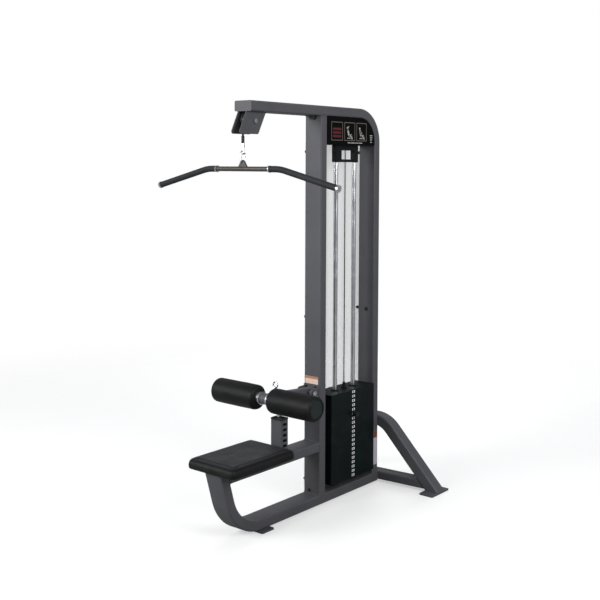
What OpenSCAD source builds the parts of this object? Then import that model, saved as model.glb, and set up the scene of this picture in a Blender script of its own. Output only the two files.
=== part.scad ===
// Lat pulldown machine: a welded tube frame with a selectorised weight stack, one cable over two
// pulleys, a bent pull bar, a seat and a pair of adjustable thigh rollers.
// The user sits on the -Y side; +X is the side with the placard and the selector pin.

/* [Frame] */
// Overall height, floor to the top of the arm
machine_h = 2211; // [2100:1:2700]
// Width of the frame tube, across the machine
tube_w = 114; // [100:1:140]
// Depth of the frame tube, in the plane of its bends
tube_d = 54; // [48:1:66]
// Wall of every frame tube
tube_wall = 3; // [2:0.5:4]
// Corner radius of the frame tube
tube_r = 9; // [5:0.5:12]
// Clear gap between the two columns
column_gap = 449; // [449:1:560]
// From the front column forward to the front end of the arm
arm_reach = 560; // [480:1:680]
// Outer radius of the bend from the arm into the rear column
arch_outer_r = 190; // [120:1:260]

/* [Base] */
// Thickness of the foot plates
foot_t = 8; // [6:1:12]
// Inside radius of the front bend
front_bend_inner_r = 211; // [150:1:240]
// Lean of the front upright away from vertical
front_lean = 16.7; // [5:0.1:22]
// From the front column forward to the start of the front bend
front_bend_reach = 478; // [440:1:520]
// Length of the front foot plate, across the machine
front_foot_w = 172; // [160:1:240]
// Depth of the front foot plate
front_foot_l = 94; // [60:1:120]
// Radius of every floor bolt hole
floor_hole_r = 5.5; // [4:0.5:7]

/* [Rear legs] */
// In-plane depth of the leg tube
leg_d = 64; // [40:1:70]
// Width of the leg tube, front to back
leg_w = 84; // [40:1:90]
// Height of the leg where it leaves the rear column
leg_top_h = 408; // [340:1:480]
// Outer radius of the leg's bend
leg_outer_r = 188; // [120:1:200]
// Slope of the straight part of the leg
leg_slope = 48; // [42:0.5:60]
// Sweep of the legs towards the rear
leg_sweep = 4.5; // [0:0.5:10]
// Height of the low cross beam between a leg and the column
leg_beam_h = 48; // [40:1:56]
// Width of a rear foot plate, across the machine
rear_foot_w = 90; // [80:1:140]
// Length of a rear foot plate, front to back
rear_foot_l = 185; // [140:1:220]

/* [Seat] */
// Top of the seat beam above the floor
seat_beam_h = 359; // [320:1:440]
// From the front column forward to the front edge of the seat pad
seat_reach = 808; // [790:1:860]
// Width of the seat pad
seat_w = 330; // [260:1:380]
// Length of the seat pad
seat_l = 483; // [360:1:488]
// Thickness of the seat pad
seat_t = 55; // [45:1:80]
// Corner radius of the seat pad seen from above
seat_r = 38; // [20:1:70]
// Thickness of the plywood board in the pad
board_t = 12; // [9:1:18]
// Thickness of the steel plate under the seat
seat_plate_t = 6; // [4:1:10]

/* [Thigh rollers] */
// Radius of a foam roller
roller_r = 67; // [50:1:75]
// Outer end of a roller from the middle plane
roller_end_x = 347; // [280:1:380]
// Gap between the two rollers
roller_gap = 92; // [86:1:120]
// Roller axle above the floor
roller_z = 664; // [640:1:690]
// Roller axle in front of the front column
roller_reach = 386; // [380:1:440]
// Radius of the roller axle
axle_r = 12.5; // [9:0.5:15]
// Arm pivot above the floor
pivot_z = 640; // [620:1:680]
// Arm pivot in front of the front column
pivot_reach = 48; // [46:1:70]
// Width of the roller arm
arm_w = 40; // [30:1:44]
// Height of the roller arm
arm_h = 50; // [40:1:56]
// Distance from the arm pivot to the strut pin
strut_reach = 228; // [215:1:240]

/* [Rack post] */
// Width of the rack post, across the machine
post_w = 76; // [60:1:90]
// Depth of the rack post, front to back
post_d = 58; // [54:1:64]
// Height of the rack post above the seat beam
post_h = 184; // [140:1:200]
// Number of slots in the side of the post
slot_n = 5; // [2:1:5]
// Distance between the slots
slot_pitch = 29; // [24:1:32]

/* [Weight stack] */
// Number of numbered plates, below the head plate
plate_n = 19; // [10:1:22]
// Plate that holds the selector pin, counted from the top
pin_plate = 5; // [1:1:9]
// Width of a plate, across the machine
plate_w = 140; // [110:1:144]
// Length of a plate, front to back
plate_l = 408; // [320:1:410]
// Distance from one plate to the next
plate_pitch = 25.4; // [22:0.1:27]
// Distance between the two guide rods
rod_pitch = 171; // [150:1:200]
// Radius of a guide rod
rod_r = 12.5; // [9:0.5:14]
// Radius of the selector stem
stem_r = 14; // [12:0.5:17]
// Radius of the selector pin
pin_r = 5; // [4:0.25:6]
// Height of the rubber bumpers under the stack
bumper_h = 36; // [15:1:45]

/* [Cable and pulleys] */
// Radius of the cable
cable_r = 3; // [2:0.25:4]
// Radius from a pulley's centre to the middle of the cable
pulley_r = 57; // [45:1:60]
// Width of a pulley
pulley_w = 22; // [16:1:24]
// Radius of a pulley axle
pulley_axle_r = 8; // [6:0.5:10]

/* [Pull bar] */
// Overall length of the bar, end to end
bar_len = 1220; // [1000:1:1400]
// Radius of the bar
bar_r = 12.5; // [11:0.5:15]
// Radius of the rubber grips
grip_r = 16; // [15:0.5:19]
// Middle of the bar below the underside of the arm
bar_drop = 290; // [280:1:330]
// Distance between the two chrome rings
ring_gap = 352; // [300:1:400]
// From the middle to the start of each bend
bar_bend_x = 215; // [205:1:260]
// Radius of the bends in the bar
bar_bend_r = 260; // [120:1:300]
// Slope of the bar's ends
bar_slope = 14; // [5:0.5:20]

/* [Top covers] */
// Height of the placard below the arm
placard_h = 155; // [140:1:190]
// Thickness of the placard
placard_t = 6; // [3:0.5:8]
// Thickness of the clear shield
shield_t = 4; // [3:0.5:6]

/* [Hidden] */
$fn = 64;

// Colours
frame_grey = [0.30, 0.30, 0.32];
bronze_grey = [0.36, 0.33, 0.31];
iron_black = [0.06, 0.07, 0.08];
plastic_black = [0.05, 0.05, 0.05];
vinyl_black = [0.08, 0.08, 0.09];
rubber_black = [0.10, 0.10, 0.11];
chrome_grey = [0.78, 0.79, 0.82];
tag_white = [0.92, 0.92, 0.90];
shield_clear = [0.85, 0.87, 0.88, 0.35];
wood_brown = [0.62, 0.48, 0.32];

// Clearances
touch = 0.3;        // between pieces that move past each other
fit = 0.05;         // around a pin or shaft that is fixed in its hole
run = 0.08;         // around a pin or shaft that turns or slides in its hole
big = 4000;         // larger than the machine, for cutting planes

// Welds between a bend and a straight tube
weld_l = 8;
weld_gap = 1;
weld_proud = 0.25;

// Columns and arm; y = 0 is the front face of the front column
rear_y0 = tube_d + column_gap;
rear_y1 = rear_y0 + tube_d;
arm_z0 = machine_h - tube_d;
base_z1 = foot_t + tube_d;
arch_y = rear_y1 - arch_outer_r;
arch_z = machine_h - arch_outer_r;

// Rear legs: the sweep turns each leg about the rear corner of the column
leg_bend_x = 15;
leg_bend_z = leg_top_h - leg_outer_r;
leg_bend_end_x = leg_bend_x + leg_outer_r * sin(leg_slope);
leg_bend_end_z = leg_bend_z + leg_outer_r * cos(leg_slope);
leg_toe_x = leg_bend_end_x + (leg_bend_end_z - foot_t) / tan(leg_slope);
leg_beam_z0 = foot_t + 8;
rear_foot_x = leg_toe_x - rear_foot_w / 2;
rear_foot_offset = 11;
rear_foot_y = rear_y1 + leg_w / 2 + (rear_foot_x - tube_w / 2) * tan(leg_sweep) - rear_foot_offset;
rear_hole_pitch = rear_foot_l - 35;

// Front foot plate
front_foot_y = -458;
front_hole_pitch = front_foot_w - 30;

// The origin is at the middle of the machine's length
rear_end = rear_foot_y + rear_foot_l / 2;
origin_shift = (seat_reach - rear_end) / 2;

// Seat
seat_beam_z0 = seat_beam_h - tube_d;
seat_z0 = seat_beam_h + seat_plate_t;
board_inset = 14;
seat_plate_w = 180;
seat_plate_l = 260;
seat_y = -seat_reach + seat_l / 2;

// Weight stack
plate_t = plate_pitch - 0.4;
stack_set_back = 14;
stack_y = tube_d + column_gap / 2 + stack_set_back;
stack_z0 = base_z1 + bumper_h;
head_z0 = stack_z0 + plate_n * plate_pitch;
head_z1 = head_z0 + plate_t;
rod_hole_r = rod_r + 2.5;
stem_hole_r = stem_r + 2.5;
pin_hole_r = pin_r + 1.5;
bush_r = rod_r + 4.5;
bush_flange_r = rod_r + 10;
bush_flange_t = 8;
anchor_r = 17;
anchor_h = 34;
pin_z = stack_z0 + (plate_n - pin_plate + 0.5) * plate_pitch;
pin_tip_x = -10;
knob_r = 15;
knob_len = 30;
tag_w = 24;
tag_h = 13;
tag_t = 0.6;

// Cable: it runs inside the arm, just above its lower wall
cable_rise = 10;
cable_z = arm_z0 + cable_rise;
pulley_z = cable_z - pulley_r;
drop_y = -arm_reach - 3;
front_pulley_y = drop_y + pulley_r;
rear_pulley_y = stack_y - pulley_r;
pulley_rim_r = pulley_r + 5;
groove_r = pulley_r - cable_r - 0.5;
bearing_r = pulley_axle_r + 9;
bracket_gap = 50;
bracket_t = 5;
arm_slot_w = pulley_w + 10;
arm_slot_l = 2 * sqrt(pow(pulley_rim_r, 2) - pow(arm_z0 - pulley_z, 2)) + 16;

// Rod bracket and the bar it hangs from
placard_z0 = arm_z0 - placard_h;
hanger_w = 40;
hanger_t = 10;
hanger_z0 = placard_z0;
rod_bracket_h = 97;
rod_bracket_z0 = hanger_z0 - rod_bracket_h;
rod_bracket_w = 30;
rod_block_out = 19;
rod_block_front_in = 33;
rod_block_rear_in = 15;
rod_block_floor = 16;
rod_block_roof = 30;
cable_hole_r = cable_r + 5;

// Pull bar and its hanging hardware, from the top down
bar_z = arm_z0 - bar_drop;
bar_wall = 3;
stop_z1 = bar_z + 178;
stop_r = 8;
swivel_z1 = stop_z1 - 50;
swivel_h = 26;
swivel_r = 9;
swivel_stem_r = 4;
eye_z = swivel_z1 - 44;
eye_r = 9;
eye_wire_r = 3.5;
link_wire_r = 3.5;
link_w = 32;
link_corner_r = 9;
gusset_hole_z = bar_z + 32;
gusset_hole_r = 6.5;
gusset_t = 10;
link_z0 = gusset_hole_z + gusset_hole_r - link_wire_r - touch;
link_z1 = eye_z - eye_r + eye_wire_r + link_wire_r + touch;
bar_bend_end_x = bar_bend_x + bar_bend_r * sin(bar_slope);
bar_outer_len = (bar_len / 2 - bar_bend_end_x) / cos(bar_slope);
ring_w = 8;
ring_r = grip_r + 1.5;
end_ring_w = 12;

// Thigh arm
arm_len = sqrt(pow(roller_reach - pivot_reach, 2) + pow(roller_z - pivot_z, 2));
arm_angle = atan((roller_z - pivot_z) / (roller_reach - pivot_reach));
arm_wall = 3;
pivot_pin_r = 8;
strut_pin_r = 6;
ear_t = 8;
ear_r = 26;
pivot_tube_w = 84;
ear_gap = pivot_tube_w + 1;
pin_proud = 4;
pin_head_t = 6;
clevis_w = 106;
clevis_h = 70;
clevis_t = 8;
hub_r = 29;
hub_w = 44;
strut_w = 16;
strut_d = 24;
strut_y = -pivot_reach - strut_reach * cos(arm_angle);
strut_z = pivot_z + strut_reach * sin(arm_angle);
strut_foot_z = seat_beam_h + 41;
ring_pull_reach = strut_reach + 38;
pull_stem_r = 5;
collar_r = 35;
roller_clear = 0.5;
arm_tail = 24;
ring_wire_r = 4;
ring_mid_r = 15;
core_r = axle_r + 4.5;
cap_r = 47;
cap_t = 8;
cap_recess = 5;
roller_in_x = roller_gap / 2;
roller_len = roller_end_x - roller_in_x;
roller_round = 18;

// Rack post
post_wall = 4;
post_y = strut_y;
slot_l = 30;
slot_h = 14;

// Shield on the far side
spacer_r = 9;
spacer_len = 21;
spacer_stud_r = 4;
shield_x1 = -tube_w / 2 - spacer_len;
shield_margin = 8;
button_z = 1040;
spacer_ys = [tube_d - 12, rear_y0 + tube_d / 2];
spacer_zs = [base_z1 + 60, button_z, placard_z0 - 40];

// ---------- shared shapes ----------

module from_column() {
    translate([0, origin_shift, 0]) children();
}

// Rectangle with round corners, centred
module round_rect(w, h, r) {
    square([w - 2 * r, h], center = true);
    square([w, h - 2 * r], center = true);
    for (sx = [-1, 1], sy = [-1, 1])
        translate([sx * (w / 2 - r), sy * (h / 2 - r)]) circle(r);
}

// Cross-section of a rectangular tube
module tube_profile(w, h, r, wall) {
    difference() {
        round_rect(w, h, r);
        round_rect(w - 2 * wall, h - 2 * wall, r - wall);
    }
}

// The frame tube's own section, depth along x, width along y
module frame_profile() {
    tube_profile(tube_d, tube_w, tube_r, tube_wall);
}

// The leg tube's own section, depth along x, width along y
module leg_profile() {
    tube_profile(leg_d, leg_w, tube_r, tube_wall);
}

// Stands a drawing made in x, y up in the machine's Y, Z plane, and extrudes it along +X
module along_x(from_x, length) {
    translate([from_x, 0, 0]) rotate([90, 0, 90]) linear_extrude(length) children();
}

// A round rod along X, centred on (y, z)
module rod_x(x0, x1, y, z, r) {
    translate([x0, y, z]) rotate([0, 90, 0]) cylinder(h = x1 - x0, r = r);
}

// A round rod along Y
module rod_y(y0, y1, x, z, r) {
    translate([x, y1, z]) rotate([90, 0, 0]) cylinder(h = y1 - y0, r = r);
}

// A round rod along Z
module rod_z(z0, z1, x, y, r) {
    translate([x, y, z0]) cylinder(h = z1 - z0, r = r);
}

module box(low, high) {
    translate(low) cube(high - low);
}

// Hexagonal bolt head standing on z = 0
module bolt_head(r, h) {
    cylinder(h = h, r = r, $fn = 6);
}

// ---------- frame ----------

// Dressed weld round the seam between a bend and a straight tube of w by h
module weld_band(w, h) {
    translate([0, 0, -weld_l / 2]) linear_extrude(weld_l) difference() {
        round_rect(w + 2 * weld_proud, h + 2 * weld_proud, tube_r + weld_proud);
        round_rect(w - 2 * tube_wall - 2 * weld_proud, h - 2 * tube_wall - 2 * weld_proud,
                   tube_r - tube_wall - weld_proud);
    }
}

module base_tube_shape() {
    translate([0, -front_bend_reach, foot_t + front_bend_inner_r + tube_d])
        rotate([90, 0, 90]) rotate([0, 0, 180 + front_lean]) {
            rotate_extrude(angle = 90 - front_lean)
                translate([front_bend_inner_r + tube_d / 2, 0]) frame_profile();
            translate([front_bend_inner_r + tube_d / 2, 0, 0])
                rotate([90, 0, 0]) linear_extrude(seat_beam_h) frame_profile();
        }
    translate([0, -front_bend_reach, foot_t + tube_d / 2]) rotate([-90, 90, 0]) {
        translate([0, 0, weld_gap])
            linear_extrude(front_bend_reach + rear_y1 - weld_gap) frame_profile();
        weld_band(tube_d, tube_w);
    }
}

module base_tube() {
    color(frame_grey) from_column()
        difference() {
            base_tube_shape();
            box([-tube_w, -big, seat_beam_h], [tube_w, big, big]);
        }
}

module seat_beam() {
    color(frame_grey) from_column()
        difference() {
            translate([0, -seat_reach, seat_beam_z0 + tube_d / 2]) rotate([-90, 90, 0])
                linear_extrude(seat_reach) frame_profile();
            upright_cut();
        }
}

// Everything in front of the leaning upright's back face
module upright_cut() {
    translate([0, -front_bend_reach, foot_t + front_bend_inner_r + tube_d])
        rotate([90, 0, 90]) rotate([0, 0, 180 + front_lean])
            translate([front_bend_inner_r, -big / 2, -tube_w]) cube([big, big, 2 * tube_w]);
}

module front_column() {
    color(frame_grey) from_column()
        translate([0, tube_d / 2, base_z1]) rotate([0, 0, 90])
            linear_extrude(arm_z0 - base_z1) frame_profile();
}

module top_frame_tube() {
    color(frame_grey) from_column()
        difference() {
            union() {
                translate([0, arch_y, arch_z]) rotate([90, 0, 90])
                    rotate_extrude(angle = 90)
                        translate([arch_outer_r - tube_d / 2, 0]) frame_profile();
                translate([0, rear_y1 - tube_d / 2, base_z1]) rotate([0, 0, 90])
                    linear_extrude(arch_z - base_z1) frame_profile();
                translate([0, -arm_reach, arm_z0 + tube_d / 2]) rotate([-90, 90, 0])
                    linear_extrude(arm_reach + arch_y) frame_profile();
            }
            for (y = [front_pulley_y, rear_pulley_y])
                box([-arm_slot_w / 2, y - arm_slot_l / 2, arm_z0 - 1],
                    [arm_slot_w / 2, y + arm_slot_l / 2, arm_z0 + tube_wall + 1]);
        }
}

module arm_end_cap() {
    plug_r = tube_r - tube_wall;
    plug_l = 10;
    color(frame_grey) from_column()
        translate([0, -arm_reach, arm_z0 + tube_d / 2]) rotate([90, 90, 0]) {
            linear_extrude(4) round_rect(tube_d, tube_w, tube_r);
            translate([0, 0, -plug_l]) linear_extrude(plug_l)
                round_rect(tube_d - 2 * tube_wall - 0.2, tube_w - 2 * tube_wall - 0.2, plug_r);
        }
}

// One leg in the X, Z plane, its front face on y = 0
module leg_shape() {
    mid_r = leg_outer_r - leg_d / 2;
    translate([leg_bend_x, leg_w / 2, leg_bend_z]) rotate([90, 0, 0]) {
        rotate([0, 0, 90 - leg_slope]) {
            rotate_extrude(angle = leg_slope) translate([mid_r, 0]) leg_profile();
            translate([mid_r, 0, 0]) rotate([90, 0, 0])
                linear_extrude(leg_top_h / sin(leg_slope)) leg_profile();
        }
        rotate([0, 0, 90]) translate([mid_r, 0, 0]) rotate([-90, 0, 0]) {
            translate([0, 0, weld_gap])
                linear_extrude(leg_bend_x + tube_w) leg_profile();
            weld_band(leg_d, leg_w);
        }
    }
}

// Sweeps a leg back and trims it to the column's rear face and the middle plane
module swept_leg() {
    difference() {
        translate([tube_w / 2, rear_y1, 0]) rotate([0, 0, leg_sweep])
            translate([-tube_w / 2, 0, 0]) children();
        box([-big, -big, -1], [big, rear_y1, big]);
        box([-big, -big, -1], [weld_gap / 2, big, big]);
        box([-big, -big, -big], [big, big, foot_t]);
    }
}

module rear_leg_right() {
    color(frame_grey) from_column() swept_leg() leg_shape();
}

module rear_leg_left() {
    color(frame_grey) from_column() mirror([1, 0, 0]) swept_leg() leg_shape();
}

module leg_beam() {
    swept_leg()
        difference() {
            translate([-tube_w, leg_w / 2, leg_beam_z0 + leg_beam_h / 2]) rotate([90, 0, 90])
                linear_extrude(leg_toe_x + tube_w)
                    tube_profile(leg_w, leg_beam_h, tube_r, tube_wall);
            leg_underside_cut();
        }
}

// Everything beyond the underside of the leg's straight part
module leg_underside_cut() {
    translate([leg_bend_x, 0, leg_bend_z]) rotate([90, 0, 0]) rotate([0, 0, 90 - leg_slope])
        translate([leg_outer_r - leg_d, -big / 2, -leg_w * 2]) cube([big, big, leg_w * 4]);
}

module rear_leg_beams() {
    color(frame_grey) from_column() {
        leg_beam();
        mirror([1, 0, 0]) leg_beam();
    }
}

module front_foot_plate() {
    color(frame_grey) from_column()
        difference() {
            translate([0, front_foot_y, 0]) linear_extrude(foot_t)
                round_rect(front_foot_w, front_foot_l, 10);
            for (side = [-1, 1])
                rod_z(-1, foot_t + 1, side * front_hole_pitch / 2, front_foot_y, floor_hole_r);
            // room for the base tube's weld
            box([-tube_w / 2 - 1, -front_bend_reach - weld_l / 2 - 1, foot_t - weld_proud - 0.1],
                [tube_w / 2 + 1, -front_bend_reach + weld_l / 2 + 1, foot_t + 1]);
        }
}

module rear_foot_plates() {
    color(frame_grey) from_column()
        for (side = [-1, 1])
            translate([side * rear_foot_x, rear_foot_y, 0]) difference() {
                linear_extrude(foot_t) round_rect(rear_foot_w, rear_foot_l, 10);
                for (end = [-1, 1])
                    rod_z(-1, foot_t + 1, 0, end * rear_hole_pitch / 2, floor_hole_r);
            }
}

// ---------- pulleys ----------

// A pair of side plates; children give the plate's outline in y, z
module plate_pair(y) {
    for (x = [-bracket_gap / 2 - bracket_t, bracket_gap / 2])
        difference() {
            along_x(x, bracket_t) children();
            rod_x(x - 1, x + bracket_t + 1, y, pulley_z, pulley_axle_r + fit);
        }
}

module front_pulley_bracket() {
    top_y0 = front_pulley_y - 63;
    top_y1 = front_pulley_y + 83;
    foot_y0 = front_pulley_y - 111;
    foot_y1 = front_pulley_y + 30;
    foot_z = pulley_z - pulley_rim_r - 5;
    round = 12;
    color(frame_grey) from_column()
        plate_pair(front_pulley_y)
            hull() {
                for (y = [top_y0 + 1, top_y1 - 1])
                    translate([y, arm_z0 - 1]) circle(1, $fn = 32);
                for (y = [foot_y0 + round, foot_y1 - round])
                    translate([y, foot_z + round]) circle(round, $fn = 32);
            }
}

module rear_pulley_bracket() {
    color(frame_grey) from_column()
        plate_pair(rear_pulley_y)
            translate([rear_pulley_y - 28, pulley_z - 28]) square([56, arm_z0 - pulley_z + 28]);
}

// Grooved wheel turning about X
module pulley(y) {
    translate([0, y, pulley_z]) rotate([0, 90, 0]) rotate_extrude()
        difference() {
            translate([bearing_r + fit, -pulley_w / 2])
                square([pulley_rim_r - bearing_r - fit, pulley_w]);
            translate([groove_r + cable_r + 0.5, 0]) circle(cable_r + 0.5);
            translate([groove_r + cable_r + 0.5, -cable_r - 0.5]) square([20, 2 * cable_r + 1]);
            for (side = [-1, 1])
                translate([bearing_r + 7, side * pulley_w / 2 - 4])
                    square([groove_r - bearing_r - 15, 8]);
        }
}

module bearing(y) {
    translate([0, y, pulley_z]) rotate([0, 90, 0]) rotate_extrude()
        translate([pulley_axle_r + run, -pulley_w / 2 + 3])
            square([bearing_r - pulley_axle_r - run, pulley_w - 6]);
}

module front_pulley() {
    color(plastic_black) from_column() pulley(front_pulley_y);
}

module rear_pulley() {
    color(plastic_black) from_column() pulley(rear_pulley_y);
}

module front_pulley_bearing() {
    color(chrome_grey) from_column() bearing(front_pulley_y);
}

module rear_pulley_bearing() {
    color(chrome_grey) from_column() bearing(rear_pulley_y);
}

module pulley_axles() {
    outer = bracket_gap / 2 + bracket_t;
    shoulder = pulley_w / 2 + 1;
    color(chrome_grey) from_column()
        for (y = [front_pulley_y, rear_pulley_y]) {
            rod_x(-outer - 7, outer + 7, y, pulley_z, pulley_axle_r);
            for (x = [-outer - 7, outer])
                translate([x, y, pulley_z]) rotate([0, 90, 0]) bolt_head(pulley_axle_r + 5, 7);
            for (side = [-1, 1])
                rod_x(min(side * shoulder, side * bracket_gap / 2),
                      max(side * shoulder, side * bracket_gap / 2), y, pulley_z, pulley_axle_r + 4);
        }
}

// ---------- weight stack ----------

module rod_hanger() {
    color(plastic_black) from_column()
        difference() {
            box([-hanger_w / 2, tube_d, hanger_z0], [hanger_w / 2, rear_y0, hanger_z0 + hanger_t]);
            rod_z(hanger_z0 - 1, hanger_z0 + hanger_t + 1, 0, stack_y, cable_hole_r);
        }
}

module rod_top_bracket() {
    front_y = stack_y - rod_pitch / 2;
    rear_y = stack_y + rod_pitch / 2;
    half_w = rod_bracket_w / 2;
    color(plastic_black) from_column()
        difference() {
            box([-half_w, front_y - rod_block_out, rod_bracket_z0],
                [half_w, rear_y + rod_block_out, hanger_z0]);
            box([-half_w - 1, front_y + rod_block_front_in, rod_bracket_z0 + rod_block_floor],
                [half_w + 1, rear_y - rod_block_rear_in, hanger_z0 - rod_block_roof]);
            for (y = [front_y, rear_y])
                rod_z(rod_bracket_z0 - 1, hanger_z0 - 12, 0, y, rod_r + fit);
            rod_z(rod_bracket_z0 - 1, hanger_z0 + 1, 0, stack_y, cable_hole_r);
        }
}

module guide_rods() {
    color(chrome_grey) from_column()
        for (side = [-1, 1])
            rod_z(base_z1, hanger_z0 - 14, 0, stack_y + side * rod_pitch / 2, rod_r);
}

module stack_bumpers() {
    color(rubber_black) from_column()
        for (side = [-1, 1])
            difference() {
                rod_z(base_z1, stack_z0, 0, stack_y + side * rod_pitch / 2, rod_r + 13);
                rod_z(base_z1 - 1, stack_z0 + 1, 0, stack_y + side * rod_pitch / 2, rod_r + 0.3);
            }
}

// One numbered plate, its underside at z
module weight_plate(z) {
    difference() {
        translate([0, stack_y, z]) linear_extrude(plate_t) round_rect(plate_w, plate_l, 5);
        for (side = [-1, 1])
            rod_z(z - 1, z + plate_t + 1, 0, stack_y + side * rod_pitch / 2, rod_hole_r);
        rod_z(z - 1, z + plate_t + 1, 0, stack_y, stem_hole_r);
        rod_x(0, plate_w, stack_y, z + plate_pitch / 2, pin_hole_r);
    }
}

module weight_plates_resting() {
    color(iron_black) from_column()
        for (i = [0 : plate_n - pin_plate - 1]) weight_plate(stack_z0 + i * plate_pitch);
}

module weight_plates_lifted() {
    color(iron_black) from_column()
        for (i = [plate_n - pin_plate : plate_n - 1]) weight_plate(stack_z0 + i * plate_pitch);
}

module head_plate() {
    color(iron_black) from_column()
        difference() {
            translate([0, stack_y, head_z0]) linear_extrude(plate_t)
                round_rect(plate_w, plate_l, 5);
            for (side = [-1, 1])
                rod_z(head_z0 - 1, head_z1 + 1, 0, stack_y + side * rod_pitch / 2, bush_r + fit);
            rod_z(head_z0 - 1, head_z1 + 1, 0, stack_y, stem_r + fit);
        }
}

module head_plate_bushes() {
    color(plastic_black) from_column()
        for (side = [-1, 1])
            translate([0, stack_y + side * rod_pitch / 2, 0]) difference() {
                union() {
                    rod_z(head_z0, head_z1 + 1, 0, 0, bush_r);
                    rod_z(head_z1, head_z1 + bush_flange_t, 0, 0, bush_flange_r);
                }
                rod_z(head_z0 - 1, head_z1 + bush_flange_t + 1, 0, 0, rod_r + run);
            }
}

module selector_stem() {
    color(chrome_grey) from_column()
        difference() {
            rod_z(stack_z0 + 3, head_z1, 0, stack_y, stem_r);
            for (i = [0 : plate_n - 1])
                rod_x(-stem_r - 1, stem_r + 1, stack_y, stack_z0 + (i + 0.5) * plate_pitch,
                      pin_r + run);
        }
}

module cable_anchor() {
    color(chrome_grey) from_column() {
        rod_z(head_z1, head_z1 + 10, 0, stack_y, anchor_r);
        rod_z(head_z1 + 10, head_z1 + anchor_h, 0, stack_y, cable_r + 5);
    }
}

module selector_pin() {
    color(chrome_grey) from_column()
        rod_x(pin_tip_x, plate_w / 2 + knob_len / 2, stack_y, pin_z, pin_r);
}

module selector_knob() {
    face_x = plate_w / 2 + tag_t + touch;
    color(plastic_black) from_column()
        difference() {
            union() {
                rod_x(face_x, face_x + 8, stack_y, pin_z, knob_r - 5);
                rod_x(face_x + 8, face_x + knob_len, stack_y, pin_z, knob_r);
            }
            rod_x(face_x - 1, plate_w / 2 + knob_len / 2, stack_y, pin_z, pin_r);
        }
}

// A small printed tag on the +X face of plate i, counted up from the bottom; the last one is on
// the head plate
module number_tag(i) {
    z = stack_z0 + (i + 0.5) * plate_pitch;
    difference() {
        box([plate_w / 2, stack_y - tag_w / 2, z - tag_h / 2],
            [plate_w / 2 + tag_t, stack_y + tag_w / 2, z + tag_h / 2]);
        rod_x(plate_w / 2 - 1, plate_w / 2 + 2, stack_y, z, pin_hole_r - 1);
    }
}

module number_tags_resting() {
    color(tag_white) from_column()
        for (i = [0 : plate_n - pin_plate - 1]) number_tag(i);
}

module number_tags_lifted() {
    color(tag_white) from_column()
        for (i = [plate_n - pin_plate : plate_n]) number_tag(i);
}

// ---------- covers ----------

// Outline of the panel that fills the top of the bay, following the inside of the arch
module bay_panel() {
    inner_r = arch_outer_r - tube_d - touch;
    y0 = tube_d + touch;
    y1 = rear_y0 - touch;
    z1 = arm_z0 - touch;
    translate([y0, placard_z0]) square([arch_y - y0, z1 - placard_z0]);
    translate([arch_y - 1, placard_z0]) square([y1 - arch_y + 1, arch_z - placard_z0]);
    translate([arch_y, arch_z]) intersection() {
        circle(inner_r);
        translate([-1, -1]) square([inner_r + 1, inner_r + 1]);
    }
}

module placard() {
    color(plastic_black) from_column() along_x(tube_w / 2 - placard_t - 1, placard_t) bay_panel();
}

module far_side_cover() {
    color(plastic_black) from_column() along_x(-tube_w / 2 + 1, placard_t) bay_panel();
}

module clear_shield() {
    y0 = spacer_ys[0] - shield_margin;
    y1 = spacer_ys[1] + shield_margin;
    z0 = base_z1 + 20;
    z1 = placard_z0 + 10;
    color(shield_clear) from_column()
        difference() {
            box([shield_x1 - shield_t, y0, z0], [shield_x1, y1, z1]);
            for (y = spacer_ys, z = spacer_zs)
                rod_x(shield_x1 - shield_t - 1, shield_x1 + 1, y, z, spacer_stud_r);
        }
}

module shield_spacers() {
    color(plastic_black) from_column()
        for (y = spacer_ys, z = spacer_zs) {
            rod_x(shield_x1, -tube_w / 2, y, z, spacer_r);
            rod_x(shield_x1 - shield_t - 4, shield_x1 + 1, y, z, spacer_stud_r - fit);
            rod_x(shield_x1 - shield_t - 5, shield_x1 - shield_t, y, z, spacer_r - 1);
        }
}

// ---------- cable ----------

module cable_bend(y, from_angle) {
    translate([0, y, pulley_z]) rotate([90, 0, 90]) rotate([0, 0, from_angle])
        rotate_extrude(angle = 90) translate([pulley_r, 0]) circle(cable_r);
}

module cable_run() {
    color(plastic_black) from_column() {
        cable_bend(front_pulley_y, 90);
        rod_y(front_pulley_y, rear_pulley_y, 0, cable_z, cable_r);
        cable_bend(rear_pulley_y, 0);
    }
}

module cable_bar_drop() {
    color(plastic_black) from_column() rod_z(stop_z1, pulley_z, 0, drop_y, cable_r);
}

module cable_stack_drop() {
    color(plastic_black) from_column()
        rod_z(head_z1 + anchor_h, pulley_z, 0, stack_y, cable_r);
}

module cable_stop() {
    color(rubber_black) from_column() {
        rod_z(swivel_z1, stop_z1 - 12, 0, drop_y, stop_r);
        rod_z(stop_z1 - 12, stop_z1, 0, drop_y, stop_r - 2.5);
    }
}

module swivel_housing() {
    color(chrome_grey) from_column()
        difference() {
            rod_z(swivel_z1 - swivel_h, swivel_z1, 0, drop_y, swivel_r);
            rod_z(swivel_z1 - swivel_h - 1, swivel_z1 - 4, 0, drop_y, swivel_stem_r + run);
        }
}

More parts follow.
